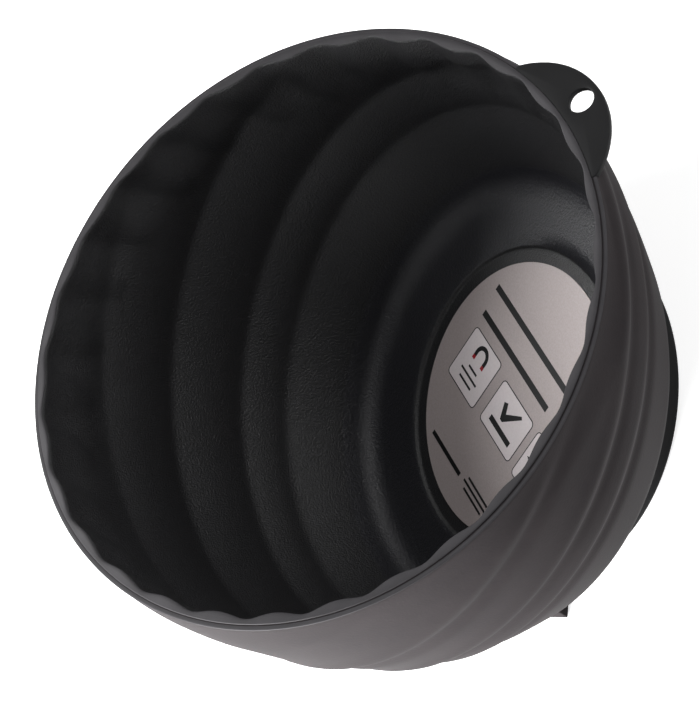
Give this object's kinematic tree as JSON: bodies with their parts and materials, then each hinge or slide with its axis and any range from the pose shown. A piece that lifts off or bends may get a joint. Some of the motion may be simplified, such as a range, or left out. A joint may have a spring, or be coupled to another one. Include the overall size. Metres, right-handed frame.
{
  "type": "magnetic parts tray",
  "caption": "Leaning round plastic parts bowl with a slanting wavy rim, stepped ripple rings and a hang tab, screwed to a rubber-covered round magnet base",
  "frame": {"origin": "centre of the magnet's flat holding face", "axes": "+Z out of the magnet's face through the bowl's floor into the bowl, +Y towards the high side of the rim, -Y towards the low side with the hang tab"},
  "size_m": [0.1468, 0.1443, 0.1116],
  "materials": {
    "bowl": "fine spark-eroded grain",
    "label": "frosted silver film",
    "boot": "matt",
    "magnet": "ground",
    "steel": "zinc plated"
  },
  "bodies": {
    "root": {"bowl": "bowl", "label": "label", "magnet_boot": "boot", "ring_magnet": "magnet", "pole_plate": "steel", "clamp_screw": "steel", "clamp_washer": "steel", "clamp_nut": "steel"}
  },
  "joints": []
}
